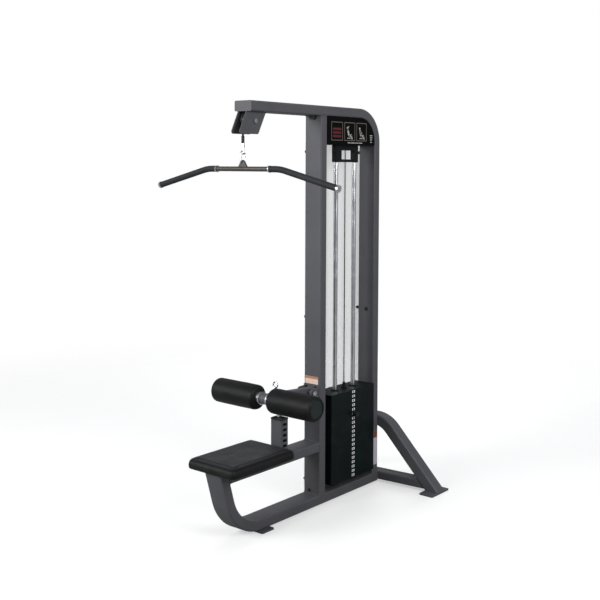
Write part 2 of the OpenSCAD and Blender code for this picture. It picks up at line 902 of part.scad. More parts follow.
// Straight and bent wires of the oval link, in the Y, Z plane
module link_wires() {
    half_w = link_w / 2;
    mid_z = (link_z0 + link_z1) / 2;
    for (side = [-1, 1]) {
        rod_z(link_z0 + link_corner_r, link_z1 - link_corner_r, 0, drop_y + side * half_w,
              link_wire_r);
        for (end = [-1, 1])
            translate([0, drop_y + side * (half_w - link_corner_r),
                       end < 0 ? link_z0 + link_corner_r : link_z1 - link_corner_r])
                rotate([90, 0, 90])
                    rotate([0, 0, side > 0 ? (end > 0 ? 0 : 270) : (end > 0 ? 90 : 180)])
                        rotate_extrude(angle = 90) translate([link_corner_r, 0])
                            circle(link_wire_r);
    }
    for (z = [link_z0, link_z1])
        rod_y(drop_y - half_w + link_corner_r, drop_y + half_w - link_corner_r, 0, z, link_wire_r);
    rod_z(mid_z - 9, mid_z + 9, 0, drop_y - half_w, link_wire_r + 2);
}

module swivel_link() {
    color(chrome_grey) from_column() {
        difference() {
            rod_z(eye_z + eye_r - 1, swivel_z1 - 5, 0, drop_y, swivel_stem_r);
            rod_y(drop_y - 20, drop_y + 20, 0, eye_z, eye_r);
        }
        translate([0, drop_y, eye_z]) rotate([90, 0, 0]) rotate_extrude()
            translate([eye_r, 0]) circle(eye_wire_r);
        link_wires();
    }
}

// ---------- pull bar ----------

// The three stretches of one half of the bar: straight, bend, sloping end
module bar_straight(x0, x1, r_out, r_in) {
    difference() {
        rod_x(x0, x1, drop_y, bar_z, r_out);
        rod_x(x0 - 1, x1 + 1, drop_y, bar_z, r_in);
    }
}

module bar_bend(r_out, r_in) {
    translate([bar_bend_x, drop_y, bar_z - bar_bend_r]) rotate([90, 0, 0])
        rotate([0, 0, 90 - bar_slope]) rotate_extrude(angle = bar_slope)
            translate([bar_bend_r, 0]) difference() {
                circle(r_out);
                circle(r_in);
            }
}

// Places children at the end of the bend, with z along the sloping end
module at_bar_end() {
    translate([bar_bend_x, drop_y, bar_z - bar_bend_r]) rotate([90, 0, 0])
        rotate([0, 0, 90 - bar_slope]) translate([bar_bend_r, 0, 0]) rotate([90, 0, 0]) children();
}

module sleeve(z0, z1, r_out, r_in) {
    difference() {
        rod_z(z0, z1, 0, 0, r_out);
        rod_z(z0 - 1, z1 + 1, 0, 0, r_in);
    }
}

module both_sides() {
    children();
    mirror([1, 0, 0]) children();
}

// The tubes of the bar are joined end to end over short plugs, under the grips
module lat_bar() {
    inner = bar_r - bar_wall;
    plug_r = inner + 0.5;
    plug_half = 6;
    seam = 0.2;
    color(bronze_grey) from_column() {
        bar_straight(-bar_bend_x + seam, bar_bend_x - seam, bar_r, inner);
        both_sides() {
            rod_x(bar_bend_x - plug_half, bar_bend_x + plug_half, drop_y, bar_z, plug_r);
            bar_bend(bar_r, inner);
            at_bar_end() {
                rod_z(-plug_half, plug_half, 0, 0, plug_r);
                sleeve(seam, bar_outer_len - 3, bar_r, inner);
            }
        }
    }
}

module bar_grips() {
    x0 = ring_gap / 2 + ring_w;
    color(rubber_black) from_column()
        both_sides() {
            bar_straight(x0, bar_bend_x, grip_r, bar_r + fit);
            bar_bend(grip_r, bar_r + fit);
            at_bar_end() sleeve(0, bar_outer_len - end_ring_w, grip_r, bar_r + fit);
        }
}

module bar_rings() {
    x0 = ring_gap / 2;
    color(chrome_grey) from_column()
        both_sides() {
            bar_straight(x0, x0 + ring_w, ring_r, bar_r + fit);
            at_bar_end() {
                sleeve(bar_outer_len - end_ring_w, bar_outer_len - 3, ring_r, bar_r + fit);
                rod_z(bar_outer_len - 3, bar_outer_len, 0, 0, ring_r);
            }
        }
}

module bar_gusset() {
    foot_w = 62;
    round = gusset_hole_r + 7;
    color(bronze_grey) from_column()
        difference() {
            translate([0, drop_y + gusset_t / 2, 0]) rotate([90, 0, 0]) linear_extrude(gusset_t)
                hull() {
                    translate([0, gusset_hole_z]) circle(round, $fn = 32);
                    translate([-foot_w / 2, bar_z]) square([foot_w, 8]);
                }
            rod_x(-foot_w, foot_w, drop_y, bar_z, bar_r);
            box([-foot_w, drop_y - foot_w, bar_z - bar_r], [foot_w, drop_y + foot_w, bar_z]);
            rod_y(drop_y - gusset_t, drop_y + gusset_t, 0, gusset_hole_z, gusset_hole_r);
        }
}

// ---------- seat ----------

module seat_pad() {
    color(vinyl_black) from_column()
        difference() {
            translate([0, seat_y, seat_z0]) linear_extrude(seat_t)
                round_rect(seat_w, seat_l, seat_r);
            translate([0, seat_y, seat_z0 - 1]) linear_extrude(board_t + 1)
                round_rect(seat_w - 2 * board_inset, seat_l - 2 * board_inset, seat_r - board_inset);
        }
}

module seat_board() {
    inset = board_inset + touch;
    color(wood_brown) from_column()
        translate([0, seat_y, seat_z0]) linear_extrude(board_t - touch)
            round_rect(seat_w - 2 * inset, seat_l - 2 * inset, seat_r - inset);
}

module seat_plate() {
    hole_x = seat_plate_w / 2 - 16;
    hole_y = seat_plate_l / 2 - 16;
    color(frame_grey) from_column()
        translate([0, seat_y, seat_beam_h]) {
            linear_extrude(seat_plate_t) round_rect(seat_plate_w, seat_plate_l, 12);
            for (sx = [-1, 1], sy = [-1, 1])
                translate([sx * hole_x, sy * hole_y, -6]) bolt_head(8, 6.5);
        }
}

// ---------- thigh rollers ----------

module rack_post() {
    z0 = seat_beam_h;
    z1 = seat_beam_h + post_h;
    inner_w = post_w - 2 * post_wall;
    inner_d = post_d - 2 * post_wall;
    color(frame_grey) from_column()
        difference() {
            translate([0, post_y, z0]) linear_extrude(post_h)
                tube_profile(post_w, post_d, 7, post_wall);
            for (i = [0 : slot_n - 1])
                box([inner_w / 2 - 1, post_y - slot_l / 2, z1 - 22 - slot_h - i * slot_pitch],
                    [post_w, post_y + slot_l / 2, z1 - 22 - i * slot_pitch]);
            box([-inner_w / 2, post_y - inner_d / 2, z0 - 1],
                [inner_w / 2, post_y + inner_d / 2, z0 + 1]);
        }
}

module rack_strut() {
    notch_z0 = strut_foot_z + 12;
    color(chrome_grey) from_column()
        difference() {
            union() {
                box([-strut_w / 2, post_y - strut_d / 2, strut_foot_z],
                    [strut_w / 2, post_y + strut_d / 2, strut_z]);
                rod_x(-strut_w / 2, strut_w / 2, strut_y, strut_z, strut_d / 2);
            }
            rod_x(-strut_w, strut_w, strut_y, strut_z, strut_pin_r + run);
            for (i = [0 : slot_n - 1])
                rod_x(-strut_w, strut_w, strut_y, notch_z0 + i * slot_pitch, 5);
        }
}

// Places children with the origin on the arm's pivot and -Y along the arm
module at_arm() {
    translate([0, -pivot_reach, pivot_z]) rotate([-arm_angle, 0, 0]) children();
}

module thigh_clevis() {
    color(frame_grey) from_column()
        difference() {
            union() {
                box([-clevis_w / 2, -clevis_t, pivot_z - clevis_h / 2],
                    [clevis_w / 2, 0, pivot_z + clevis_h / 2]);
                for (x = [-ear_gap / 2 - ear_t, ear_gap / 2]) {
                    rod_x(x, x + ear_t, -pivot_reach, pivot_z, ear_r);
                    box([x, -pivot_reach, pivot_z - ear_r], [x + ear_t, 0, pivot_z + ear_r]);
                }
            }
            rod_x(-clevis_w, clevis_w, -pivot_reach, pivot_z, pivot_pin_r + run);
        }
}

module thigh_arm() {
    inner_w = arm_w - 2 * arm_wall;
    inner_h = arm_h - 2 * arm_wall;
    color(frame_grey) from_column() at_arm()
        difference() {
            union() {
                translate([0, arm_tail, 0]) rotate([90, 0, 0])
                    linear_extrude(arm_tail + arm_len - hub_r + 4)
                        tube_profile(arm_w, arm_h, 6, arm_wall);
                rod_x(-hub_w / 2, hub_w / 2, -arm_len, 0, hub_r);
                rod_x(-pivot_tube_w / 2, pivot_tube_w / 2, 0, 0, pivot_pin_r + 7);
                rod_z(arm_h / 2 - arm_wall, arm_h / 2 + 12, 0, -ring_pull_reach, 11);
            }
            rod_x(-hub_w, hub_w, -arm_len, 0, axle_r + fit);
            rod_x(-clevis_w, clevis_w, 0, 0, pivot_pin_r + fit);
            rod_x(-arm_w, arm_w, -strut_reach, 0, strut_pin_r + fit);
            box([-strut_w / 2 - 2, -strut_reach - 30, -arm_h],
                [strut_w / 2 + 2, -strut_reach + 26, -arm_h / 2 + arm_wall + 1]);
            rod_z(arm_h / 2 - arm_wall - 1, arm_h / 2 + 20, 0, -ring_pull_reach, pull_stem_r + run);
        }
}

module arm_pins() {
    pin_end = ear_gap / 2 + ear_t + pin_proud;
    color(chrome_grey) from_column() at_arm() {
        rod_x(-pin_end - pin_head_t, pin_end + pin_head_t, 0, 0, pivot_pin_r);
        for (x = [-pin_end - pin_head_t, pin_end])
            rod_x(x, x + pin_head_t, 0, 0, pivot_pin_r + 5);
        rod_x(-arm_w / 2 - 4, arm_w / 2 + 4, -strut_reach, 0, strut_pin_r);
        for (x = [-arm_w / 2 - 5, arm_w / 2])
            rod_x(x, x + 5, -strut_reach, 0, strut_pin_r + 4);
    }
}

module release_ring() {
    ring_z = arm_h / 2 + 42;
    color(chrome_grey) from_column() at_arm() {
        rod_z(-arm_h / 2 + 8, ring_z - 12, 0, -ring_pull_reach, pull_stem_r);
        translate([0, -ring_pull_reach, ring_z]) rotate([90, 0, 0]) rotate_extrude()
            translate([ring_mid_r, 0]) circle(ring_wire_r);
    }
}

module roller_axle() {
    collar_x0 = hub_w / 2 + roller_clear;
    color(chrome_grey) from_column() {
        rod_x(-roller_end_x + 24, roller_end_x - 24, -roller_reach, roller_z, axle_r);
        for (x = [-roller_in_x + roller_clear, collar_x0])
            rod_x(x, x + roller_in_x - collar_x0 - roller_clear, -roller_reach, roller_z, collar_r);
    }
}

// Core tube and end cap of the roller on the +X side
module roller_core() {
    difference() {
        union() {
            rod_x(roller_in_x, roller_end_x - cap_recess - cap_t + 1, -roller_reach, roller_z, core_r);
            rod_x(roller_end_x - cap_recess - cap_t, roller_end_x - cap_recess, -roller_reach,
                  roller_z, cap_r);
        }
        rod_x(roller_in_x - 1, roller_end_x - cap_recess - cap_t, -roller_reach, roller_z,
              axle_r + run);
    }
}

module roller_foam() {
    translate([roller_in_x, -roller_reach, roller_z]) rotate([0, 90, 0]) rotate_extrude()
        difference() {
            union() {
                translate([core_r + fit, 0])
                    square([roller_r - roller_round - core_r - fit, roller_len]);
                translate([core_r + fit, roller_round])
                    square([roller_r - core_r - fit, roller_len - 2 * roller_round]);
                for (z = [roller_round, roller_len - roller_round])
                    translate([roller_r - roller_round, z]) circle(roller_round);
            }
            translate([0, roller_len - cap_recess - cap_t - fit])
                square([cap_r + fit, cap_recess + cap_t + 1]);
        }
}

module roller_cores_right() {
    color(plastic_black) from_column() roller_core();
}

module roller_cores_left() {
    color(plastic_black) from_column() mirror([1, 0, 0]) roller_core();
}

module roller_foam_right() {
    color(vinyl_black) from_column() roller_foam();
}

module roller_foam_left() {
    color(vinyl_black) from_column() mirror([1, 0, 0]) roller_foam();
}

// ---------- small trim on the frame ----------

module frame_trim() {
    stop_half_w = 22;
    button_t = 3;
    color(plastic_black) from_column() {
        // half-round rubber stop under the arm
        intersection() {
            rod_y(-12, 0, 0, arm_z0, stop_half_w);
            box([-tube_w, -20, 0], [tube_w, 0, arm_z0]);
        }
        // bolt low on the front column, and the flat button on the rear one
        rod_y(-7, 0, -15, base_z1 + 18, 8);
        rod_y(rear_y0 - button_t, rear_y0, 4, button_z, 11);
        // bolts of the thigh clevis, between its ears
        for (sx = [-1, 1], sz = [-1, 1])
            translate([sx * (ear_gap / 2 - 10), -clevis_t, pivot_z + sz * (clevis_h / 2 - 10)])
                rotate([90, 0, 0]) bolt_head(7, 5);
    }
}

base_tube();
seat_beam();
front_column();
top_frame_tube();
arm_end_cap();
rear_leg_right();
rear_leg_left();
rear_leg_beams();
front_foot_plate();
rear_foot_plates();
front_pulley_bracket();
front_pulley();
front_pulley_bearing();
rear_pulley_bracket();
rear_pulley();
rear_pulley_bearing();
pulley_axles();
rod_hanger();
rod_top_bracket();
guide_rods();
stack_bumpers();
weight_plates_resting();
weight_plates_lifted();
head_plate();
head_plate_bushes();
selector_stem();
cable_anchor();
selector_pin();
selector_knob();
number_tags_resting();
number_tags_lifted();
placard();
far_side_cover();
clear_shield();
shield_spacers();
cable_run();
cable_bar_drop();
cable_stack_drop();
cable_stop();
swivel_housing();
swivel_link();
bar_gusset();
lat_bar();
bar_rings();
bar_grips();
seat_pad();
seat_board();
seat_plate();
rack_post();
rack_strut();
thigh_clevis();
thigh_arm();
arm_pins();
release_ring();
roller_axle();
roller_cores_left();
roller_cores_right();
roller_foam_left();
roller_foam_right();
frame_trim();
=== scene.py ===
import math

import bmesh
import bpy
from mathutils import Matrix, Vector, noise


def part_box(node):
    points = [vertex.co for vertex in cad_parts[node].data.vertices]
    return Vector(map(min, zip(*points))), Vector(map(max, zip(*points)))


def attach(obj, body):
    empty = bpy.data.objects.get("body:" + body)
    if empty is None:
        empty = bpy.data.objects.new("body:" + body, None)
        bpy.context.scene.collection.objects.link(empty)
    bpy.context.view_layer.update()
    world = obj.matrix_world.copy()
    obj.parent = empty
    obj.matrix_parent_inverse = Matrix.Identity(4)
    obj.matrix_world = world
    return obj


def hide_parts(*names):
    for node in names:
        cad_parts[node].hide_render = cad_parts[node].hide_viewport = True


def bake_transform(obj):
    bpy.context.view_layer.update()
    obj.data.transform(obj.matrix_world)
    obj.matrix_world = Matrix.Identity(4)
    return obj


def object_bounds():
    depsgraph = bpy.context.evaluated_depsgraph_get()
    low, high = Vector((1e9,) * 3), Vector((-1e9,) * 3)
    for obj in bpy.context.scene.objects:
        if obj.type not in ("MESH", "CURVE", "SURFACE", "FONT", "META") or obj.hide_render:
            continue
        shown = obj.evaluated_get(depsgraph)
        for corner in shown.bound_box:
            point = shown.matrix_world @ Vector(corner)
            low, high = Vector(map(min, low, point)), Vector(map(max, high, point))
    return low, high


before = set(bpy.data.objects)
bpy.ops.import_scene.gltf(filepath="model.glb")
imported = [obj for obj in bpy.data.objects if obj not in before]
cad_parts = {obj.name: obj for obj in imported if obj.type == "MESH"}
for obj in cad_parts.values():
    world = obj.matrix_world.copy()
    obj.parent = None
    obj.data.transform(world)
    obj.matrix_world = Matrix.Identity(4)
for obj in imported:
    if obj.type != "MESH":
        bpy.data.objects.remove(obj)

# Looks for the lat pulldown machine. Metres, +Z up, the user sits on the -Y side, and +X is the
# side with the placard and the selector pin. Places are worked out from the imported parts' boxes.

cad_low, cad_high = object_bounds()
scene = bpy.context.scene


def box_of(node):
    """Lowest corner, highest corner and middle of a CAD node."""
    low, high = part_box(node)
    return low, high, (low + high) / 2


# ---------- camera, floor and lights ----------

COLUMN_FACE = box_of("front_column")[0].y
CAMERA_AT = Vector((3.349, COLUMN_FACE - 4.163, 1.888))
# Turns in degrees: left of +Y, down from level, and about the line of sight
CAMERA_AZIMUTH = 39.57
CAMERA_PITCH = 2.73
CAMERA_ROLL = 0.22
# Focal length in millimetres, and the lens shift as a share of the frame
CAMERA_LENS = 58.455
CAMERA_SHIFT = -0.1476
LIGHTS_AIM = Vector((0, 0, 1.0))
AMBIENT = 0.33
# The floor's albedo and glow for the camera, and its albedo for the light that it throws back
FLOOR_SEEN = 0.5
FLOOR_GLOW = 0.47
FLOOR_BOUNCE = 0.3
FLOOR_RADIUS = 9.0
# The floor fades out between these distances from the middle
FLOOR_FADE = (2.2, 5.5)


def make_camera():
    data = bpy.data.cameras.new("camera")
    data.sensor_width = 36
    data.lens = CAMERA_LENS
    data.shift_y = CAMERA_SHIFT
    data.clip_end = 60
    camera = bpy.data.objects.new("camera", data)
    scene.collection.objects.link(camera)
    turn = Matrix.Rotation(math.radians(CAMERA_AZIMUTH), 4, "Z")
    tilt = Matrix.Rotation(math.radians(90 - CAMERA_PITCH), 4, "X")
    roll = Matrix.Rotation(math.radians(CAMERA_ROLL), 4, "Z")
    camera.matrix_world = Matrix.Translation(CAMERA_AT) @ turn @ tilt @ roll
    scene.camera = camera


def area_light(name, place, size, power, glossy=True):
    """A soft panel aimed at the machine; without glossy it gives no reflections."""
    data = bpy.data.lights.new(name, "AREA")
    data.shape = "RECTANGLE"
    data.size, data.size_y = size
    data.energy = power
    light = bpy.data.objects.new(name, data)
    scene.collection.objects.link(light)
    aim = (LIGHTS_AIM - Vector(place)).to_track_quat("-Z", "Y")
    light.matrix_world = Matrix.Translation(place) @ aim.to_matrix().to_4x4()
    light.visible_camera = False
    light.visible_glossy = glossy


def make_world():
    """White all round for the camera, softer for what it lights."""
    world = bpy.data.worlds.new("studio")
    world.use_nodes = True
    scene.world = world
    nodes, links = world.node_tree.nodes, world.node_tree.links
    nodes.clear()
    out = nodes.new("ShaderNodeOutputWorld")
    mix = nodes.new("ShaderNodeMixShader")
    path = nodes.new("ShaderNodeLightPath")
    ambient = nodes.new("ShaderNodeBackground")
    ambient.inputs["Color"].default_value = (0.93, 0.96, 1.0, 1)
    ambient.inputs["Strength"].default_value = AMBIENT
    seen = nodes.new("ShaderNodeBackground")
    seen.inputs["Color"].default_value = (1, 1, 1, 1)
    links.new(path.outputs["Is Camera Ray"], mix.inputs["Fac"])
    links.new(ambient.outputs[0], mix.inputs[1])
    links.new(seen.outputs[0], mix.inputs[2])
    links.new(mix.outputs[0], out.inputs["Surface"])


def make_floor():
    """A pale disc that fades out far from the machine."""
    mesh = bpy.data.meshes.new("floor")
    build = bmesh.new()
    bmesh.ops.create_circle(build, cap_ends=True, segments=96, radius=FLOOR_RADIUS)
    build.to_mesh(mesh)
    build.free()
    floor = bpy.data.objects.new("floor", mesh)
    floor.location.z = cad_low.z - 0.0005
    scene.collection.objects.link(floor)
    mat = bpy.data.materials.new("floor_white")
    mat.use_nodes = True
    nodes, links = mat.node_tree.nodes, mat.node_tree.links
    bsdf = nodes["Principled BSDF"]
    bsdf.inputs["Base Color"].default_value = (FLOOR_SEEN, FLOOR_SEEN, FLOOR_SEEN, 1)
    bsdf.inputs["Roughness"].default_value = 0.7
    bsdf.inputs["Emission Color"].default_value = (1, 1, 1, 1)
    bsdf.inputs["Emission Strength"].default_value = FLOOR_GLOW
    bounce = nodes.new("ShaderNodeBsdfDiffuse")
    bounce.inputs["Color"].default_value = (FLOOR_BOUNCE, FLOOR_BOUNCE, FLOOR_BOUNCE, 1)
    path = nodes.new("ShaderNodeLightPath")
    surface = nodes.new("ShaderNodeMixShader")
    links.new(path.outputs["Is Camera Ray"], surface.inputs["Fac"])
    links.new(bounce.outputs[0], surface.inputs[1])
    links.new(bsdf.outputs[0], surface.inputs[2])
    place = nodes.new("ShaderNodeTexCoord")
    length = nodes.new("ShaderNodeVectorMath")
    length.operation = "LENGTH"
    fade = nodes.new("ShaderNodeMapRange")
    fade.interpolation_type = "SMOOTHSTEP"
    fade.inputs["From Min"].default_value = FLOOR_FADE[0]
    fade.inputs["From Max"].default_value = FLOOR_FADE[1]
    clear = nodes.new("ShaderNodeBsdfTransparent")
    mix = nodes.new("ShaderNodeMixShader")
    links.new(place.outputs["Object"], length.inputs[0])
    links.new(length.outputs["Value"], fade.inputs["Value"])
    links.new(fade.outputs["Result"], mix.inputs["Fac"])
    links.new(surface.outputs[0], mix.inputs[1])
    links.new(clear.outputs[0], mix.inputs[2])
    links.new(mix.outputs[0], nodes["Material Output"].inputs["Surface"])
    mesh.materials.append(mat)


scene.view_settings.view_transform = "Standard"
make_camera()
make_world()
make_floor()
area_light("key", (-1.8, -5.2, 3.1), (2.6, 2.6), 310)
area_light("side", (5.2, -0.6, 3.3), (2.4, 3.0), 195)
area_light("top", (0.3, 0.2, 5.2), (3.5, 3.5), 35, glossy=False)
area_light("top_glow", (0.3, 0.2, 5.2), (3.5, 3.5), 50)
area_light("back", (-2.5, 4.5, 2.6), (2.5, 2.5), 110, glossy=False)


# ---------- materials ----------

class Finish:
    """A procedural material built round one Principled shader, in object coordinates in metres."""

    def __init__(self, name, colour, roughness, metallic=0.0, **sockets):
        self.material = bpy.data.materials.new(name)
        self.material.use_nodes = True
        self.nodes = self.material.node_tree.nodes
        self.links = self.material.node_tree.links
        self.shader = self.nodes["Principled BSDF"]
        self.colour = colour
        self.roughness = roughness
        self.height = None
        self.set("Base Color", (*colour, 1))
        self.set("Roughness", roughness)
        self.set("Metallic", metallic)
        for socket, value in sockets.items():
            self.set(socket.replace("_", " "), value)
        coordinates = self.nodes.new("ShaderNodeTexCoord")
        self.place = coordinates.outputs["Object"]

    def set(self, socket, value):
        self.shader.inputs[socket].default_value = value

    def stretched(self, scale):
        """Object coordinates scaled by a different factor along each axis."""
        mapping = self.nodes.new("ShaderNodeMapping")
        mapping.inputs["Scale"].default_value = scale
        self.links.new(self.place, mapping.inputs["Vector"])
        return mapping.outputs["Vector"]

    def noise(self, scale, detail=3.0, vector=None, distortion=0.0):
        node = self.nodes.new("ShaderNodeTexNoise")
        node.inputs["Scale"].default_value = scale
        node.inputs["Detail"].default_value = detail
        node.inputs["Distortion"].default_value = distortion
        self.links.new(vector or self.place, node.inputs["Vector"])
        return node.outputs["Fac"]

    def cells(self, scale, feature="F1", vector=None):
        node = self.nodes.new("ShaderNodeTexVoronoi")
        node.feature = feature
        node.inputs["Scale"].default_value = scale
        self.links.new(vector or self.place, node.inputs["Vector"])
        return node.outputs["Distance"]

    def wave(self, scale, direction, vector=None):
        node = self.nodes.new("ShaderNodeTexWave")
        node.bands_direction = direction
        node.inputs["Scale"].default_value = scale
        self.links.new(vector or self.place, node.inputs["Vector"])
        return node.outputs["Fac"]

    def upward(self):
        """How far the surface faces up."""
        split = self.nodes.new("ShaderNodeSeparateXYZ")
        self.links.new(self.nodes.new("ShaderNodeNewGeometry").outputs["Normal"], split.inputs[0])
        return split.outputs["Z"]

    def remap(self, value, low, high, to_low, to_high):
        node = self.nodes.new("ShaderNodeMapRange")
        for socket, number in zip(("From Min", "From Max", "To Min", "To Max"),
                                  (low, high, to_low, to_high)):
            node.inputs[socket].default_value = number
        self.links.new(value, node.inputs["Value"])
        return node.outputs["Result"]

    def tint(self, value, other, low=0.35, high=0.65):
        """Turns the colour so far into another one where the value is high."""
        node = self.nodes.new("ShaderNodeMix")
        node.data_type = "RGBA"
        self.links.new(self.remap(value, low, high, 0, 1), node.inputs["Factor"])
        base = self.shader.inputs["Base Color"]
        if base.is_linked:
            self.links.new(base.links[0].from_socket, node.inputs["A"])
        else:
            node.inputs["A"].default_value = (*self.colour, 1)
        node.inputs["B"].default_value = (*other, 1)
        self.links.new(node.outputs["Result"], base)
        return self

    def polish(self, value, spread, low=0.3, high=0.7):
        """Varies the roughness by the spread either way."""
        rough = self.remap(value, low, high, self.roughness - spread, self.roughness + spread)
        self.links.new(rough, self.shader.inputs["Roughness"])
        return self

    def bump(self, value, height, strength=1.0):
        """Adds one more layer of relief, the height in metres."""
        node = self.nodes.new("ShaderNodeBump")
        node.inputs["Distance"].default_value = height
        node.inputs["Strength"].default_value = strength
        self.links.new(value, node.inputs["Height"])
        if self.height:
            self.links.new(self.height, node.inputs["Normal"])
        self.height = node.outputs["Normal"]
        self.links.new(self.height, self.shader.inputs["Normal"])
        return self


def paint(name, colour, lighter, roughness, metallic):
    """Powder coat: metal flake, orange peel and faint handling marks."""
    coat = Finish(name, colour, roughness, metallic, Specular_IOR_Level=0.15)
    coat.tint(coat.noise(2600, 1.0), lighter, 0.55, 0.75)
    coat.tint(coat.noise(3.5, 4.0), tuple(0.86 * c for c in colour), 0.52, 0.85)
    coat.polish(coat.noise(9, 5.0), 0.05)
    coat.bump(coat.noise(420, 2.0), 0.00012)
    return coat.material


def chrome(name, colour, roughness):
    """Polished plate with light draw marks along Z and a few smears."""
    plate = Finish(name, colour, roughness, 1.0)
    plate.polish(plate.noise(14, 5.0), roughness * 0.5)
    plate.tint(plate.noise(30, 4.0), tuple(0.85 * c for c in colour), 0.55, 0.8)
    plate.bump(plate.noise(60, 2.0, plate.stretched((30, 30, 1))), 0.00001, 0.35)
    return plate.material


def moulded(name, colour, roughness, grain=900, relief=0.00008):
    """Moulded plastic or rubber with a fine spark-eroded grain."""
    part = Finish(name, colour, roughness, Specular_IOR_Level=0.22)
    part.tint(part.noise(7, 4.0), tuple(1.35 * c for c in colour), 0.45, 0.8)
    part.polish(part.noise(25, 4.0), 0.07)
    part.bump(part.cells(grain), relief)
    return part.material


def vinyl(name, painted_top_highlight=None):
    """Upholstery vinyl: pebbled grain, soft creases, and, where asked, a painted highlight that makes the
    faces turned up paler.
    """
    hide = Finish(name, (0.004, 0.004, 0.0043), 0.38, Specular_IOR_Level=0.2)
    hide.tint(hide.noise(5, 4.0), (0.008, 0.008, 0.0086), 0.4, 0.75)
    # Painted highlight: faces that look up are coloured paler, standing in for the light that falls on
    # the seat's top.
    if painted_top_highlight:
        hide.tint(hide.upward(), painted_top_highlight, 0.86, 0.99)
    hide.polish(hide.noise(16, 5.0), 0.07)
    hide.bump(hide.noise(38, 4.0, distortion=0.6), 0.0005, 0.5)
    hide.bump(hide.remap(hide.cells(620, "DISTANCE_TO_EDGE"), 0.0, 0.25, 0, 1), 0.00022)
    return hide.material


def iron():
    """Black enamelled cast plates with a cool tint and unevenly worn faces."""
    plate = Finish("stack_iron", (0.003, 0.0062, 0.007), 0.42, Specular_IOR_Level=0.12)
    plate.tint(plate.noise(11, 5.0), (0.007, 0.012, 0.013), 0.5, 0.8)
    plate.polish(plate.noise(24, 5.0), 0.08)
    plate.bump(plate.noise(260, 3.0), 0.00015)
    return plate.material


def cable_jacket():
    """Nylon jacket with the lay of the strands showing through."""
    jacket = Finish("cable_jacket", (0.018, 0.017, 0.018), 0.26, Coat_Weight=0.3,
                    Coat_Roughness=0.15)
    jacket.polish(jacket.noise(60, 3.0), 0.06)
    jacket.bump(jacket.wave(45, "DIAGONAL"), 0.0002, 0.6)
    return jacket.material


def clear_acrylic():
    """Clear sheet: a pale, see-through film with faint wipe marks."""
    sheet = Finish("clear_acrylic", (0.55, 0.56, 0.57), 0.08, Alpha=0.3)
    sheet.polish(sheet.noise(6, 5.0, sheet.stretched((1, 1, 0.2))), 0.05)
    return sheet.material


def plywood():
    """Birch ply: long grain across the face and dark glue lines."""
    board = Finish("plywood", (0.50, 0.35, 0.20), 0.62)
    board.tint(board.noise(30, 5.0, board.stretched((9, 1, 9))), (0.30, 0.18, 0.09), 0.45, 0.7)
    board.bump(board.noise(90, 3.0, board.stretched((8, 1, 8))), 0.0002)
    return board.material


def printed(name, colour, roughness=0.42, gloss=0.2):
    """Ink or film: even colour with slight fading and a soft orange peel."""
    film = Finish(name, colour, roughness, Specular_IOR_Level=gloss)
    film.tint(film.noise(60, 4.0), tuple(0.82 * c for c in colour), 0.5, 0.8)
    film.polish(film.noise(45, 3.0), 0.06)
    film.bump(film.noise(700, 1.0), 0.00004)
    return film.material


FINISHES = {
    "frame_paint": paint("frame_paint", (0.080, 0.080, 0.088), (0.17, 0.17, 0.185), 0.46, 0.2),
    "black_paint": paint("black_paint", (0.006, 0.006, 0.007), (0.014, 0.014, 0.015), 0.44, 0.0),
    "bar_paint": paint("bar_paint", (0.085, 0.078, 0.074), (0.19, 0.17, 0.16), 0.36, 0.6),
    "stack_iron": iron(),
    "chrome": chrome("chrome", (0.70, 0.71, 0.73), 0.2),
    "zinc": chrome("zinc", (0.52, 0.52, 0.50), 0.30),
    "black_plastic": moulded("black_plastic", (0.012, 0.012, 0.013), 0.44),
    "black_rubber": moulded("black_rubber", (0.016, 0.018, 0.020), 0.62, 500, 0.0002),
    "black_vinyl": vinyl("black_vinyl"),
    "cable_jacket": cable_jacket(),
    "placard_black": printed("placard_black", (0.0012, 0.0012, 0.0013), 0.5, 0.06),
    "tag_white": printed("tag_white", (0.78, 0.80, 0.80)),
    "clear_acrylic": clear_acrylic(),
    "plywood": plywood(),
}
INKS = {
    "pale": printed("ink_pale", (0.36, 0.36, 0.34)),
    "line": printed("ink_line", (0.12, 0.10, 0.085)),
    "red": printed("ink_red", (0.085, 0.012, 0.018)),
    "dark": printed("ink_dark", (0.012, 0.012, 0.012)),
    "orange": printed("ink_orange", (0.40, 0.19, 0.10)),
    "brown": printed("ink_brown", (0.16, 0.055, 0.03)),
    "lavender": printed("ink_lavender", (0.44, 0.43, 0.48)),
    "cream": printed("ink_cream", (0.70, 0.53, 0.44)),
}


CAP_GREY = moulded("cap_grey", (0.011, 0.017, 0.018), 0.5)
# The seat's vinyl carries a painted highlight: its upward faces are coloured paler for the light on its
# top.
SEAT_VINYL = vinyl("seat_vinyl", painted_top_highlight=(0.024, 0.024, 0.0255))
NODE_FINISHES = {
    "roller_cores_left": CAP_GREY,
    "roller_cores_right": CAP_GREY,
    "cable_anchor": FINISHES["black_paint"],
}


def finish_cad_nodes():
    """Gives every CAD node the finish of its slot, or its own one."""
    for name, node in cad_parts.items():
        for holder in node.material_slots:
            slot = holder.material.name.split(".")[0]
            holder.material = NODE_FINISHES.get(name, FINISHES[slot])


finish_cad_nodes()


# ---------- mesh helpers ----------

def add_piece(name, build, body, slot, material=None, smooth=True):
    """Turns a bmesh into a piece that rides on a body."""
    mesh = bpy.data.meshes.new(name)
    bmesh.ops.recalc_face_normals(build, faces=build.faces)
    build.to_mesh(mesh)
    build.free()
    for face in mesh.polygons:
        face.use_smooth = smooth
    mesh.materials.append(material or FINISHES[slot])
    piece = bpy.data.objects.new(name, mesh)
    scene.collection.objects.link(piece)
    if body:
        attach(piece, body)
    return piece


